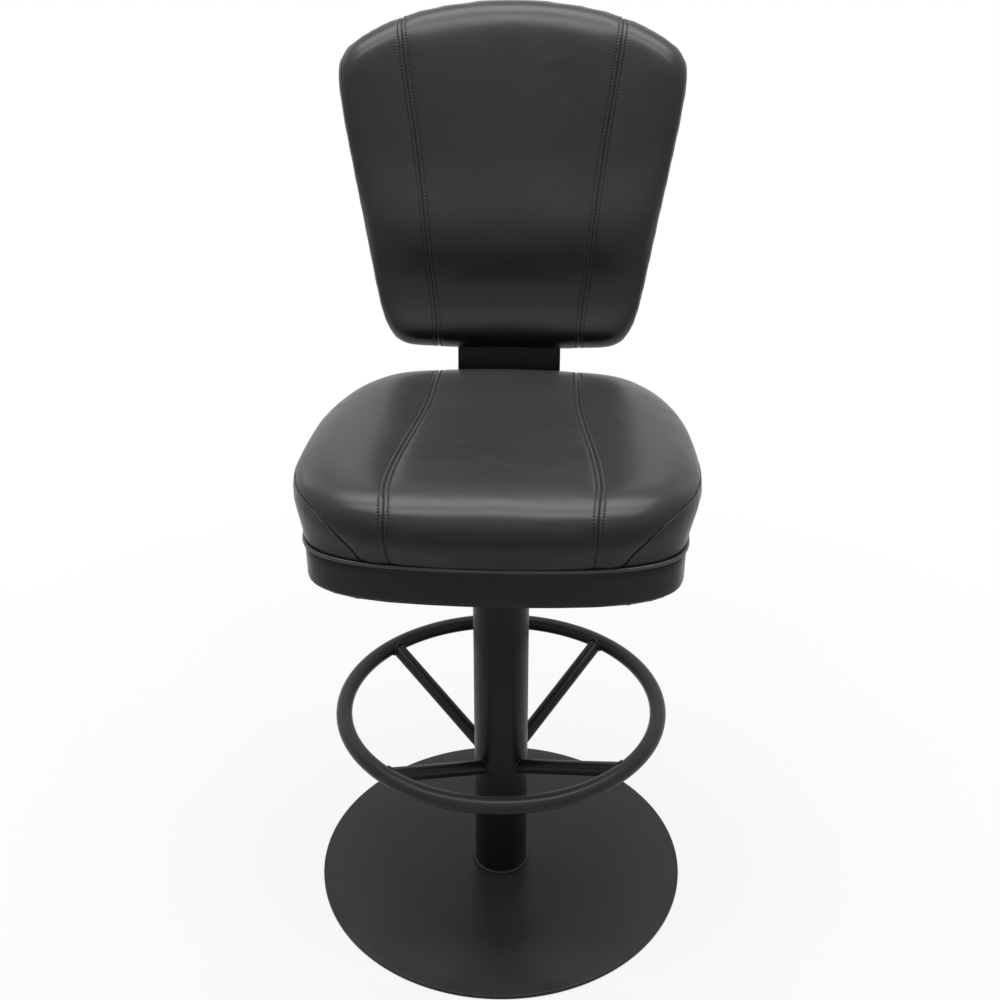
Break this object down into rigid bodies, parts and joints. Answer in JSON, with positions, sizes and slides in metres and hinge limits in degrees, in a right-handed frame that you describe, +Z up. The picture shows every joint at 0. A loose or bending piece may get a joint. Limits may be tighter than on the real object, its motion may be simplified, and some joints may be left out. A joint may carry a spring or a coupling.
{
  "type": "casino stool",
  "caption": "Black vinyl swivel stool with a leaning back, a padded seat over a skirt, and a column on a round plate with a spoked foot ring.",
  "frame": {"origin": "centre of the floor face under the base plate, on the axis of the column", "axes": "+Z up along the column; the sitter faces -Y and the back is towards +Y; +X is to the left hand of the sitter"},
  "size_m": [0.51, 0.5767, 1.1356],
  "materials": {
    "powder_coat": "satin black powder coat",
    "vinyl": "soft black upholstery vinyl with a fine leather grain",
    "bright_steel": "turned steel",
    "zinc_plate": "zinc plated steel",
    "bearing_steel": "ground bearing steel",
    "acetal": "natural acetal",
    "rubber": "black sheet rubber",
    "plywood": "birch plywood",
    "hardboard": "black hardboard",
    "foam": "moulded polyurethane foam"
  },
  "bodies": {
    "pedestal": {"floor_pad": "rubber", "base_plate": "powder_coat", "column_tube": "powder_coat", "footring": "powder_coat", "footring_spoke_1": "powder_coat", "footring_spoke_2": "powder_coat", "footring_spoke_3": "powder_coat", "footring_spoke_4": "powder_coat", "swivel_housing": "bright_steel", "upper_bush": "acetal", "lower_bush": "acetal", "bearing_lower_race": "bearing_steel"},
    "bearing_cage": {"bearing_ball_cage": "bearing_steel"},
    "seat": {"seat_plate": "powder_coat", "back_bar": "powder_coat", "spindle": "bright_steel", "spindle_clip": "bright_steel", "bearing_upper_race": "bearing_steel", "spindle_washer": "zinc_plate", "cover_screw_1": "zinc_plate", "cover_screw_2": "zinc_plate", "cover_screw_3": "zinc_plate", "cover_screw_4": "zinc_plate", "seat_bolt_1": "zinc_plate", "seat_bolt_2": "zinc_plate", "seat_bolt_3": "zinc_plate", "seat_bolt_4": "zinc_plate", "seat_tnut_1": "zinc_plate", "seat_tnut_2": "zinc_plate", "seat_tnut_3": "zinc_plate", "seat_tnut_4": "zinc_plate", "bar_bolt_1": "zinc_plate", "bar_bolt_2": "zinc_plate", "bar_bolt_3": "zinc_plate", "bar_bolt_4": "zinc_plate", "bar_tnut_1": "zinc_plate", "bar_tnut_2": "zinc_plate", "bar_tnut_3": "zinc_plate", "bar_tnut_4": "zinc_plate", "back_bolt_1": "zinc_plate", "back_bolt_2": "zinc_plate", "back_bolt_3": "zinc_plate", "back_bolt_4": "zinc_plate", "back_tnut_1": "zinc_plate", "back_tnut_2": "zinc_plate", "back_tnut_3": "zinc_plate", "back_tnut_4": "zinc_plate", "seat_board": "plywood", "skirt_frame": "plywood", "back_board": "plywood", "bottom_cover": "hardboard", "seat_foam": "foam", "back_foam": "foam", "seat_cover": "vinyl", "seat_piping": "vinyl", "skirt_cover": "vinyl", "back_cover": "vinyl", "back_piping": "vinyl", "back_rear_panel": "vinyl"}
  },
  "joints": [
    {"name": "seat_swivel", "type": "hinge", "parent": "pedestal", "child": "seat", "pos_m": [0, 0, 0.59], "axis": [0, 0, 1], "continuous": true},
    {"name": "cage_turn", "type": "hinge", "parent": "pedestal", "child": "bearing_cage", "pos_m": [0, 0, 0.5893], "axis": [0, 0, 1], "continuous": true}
  ],
  "couplings": [
    {"joint": "cage_turn", "follows": "seat_swivel", "ratio": 0.5}
  ]
}
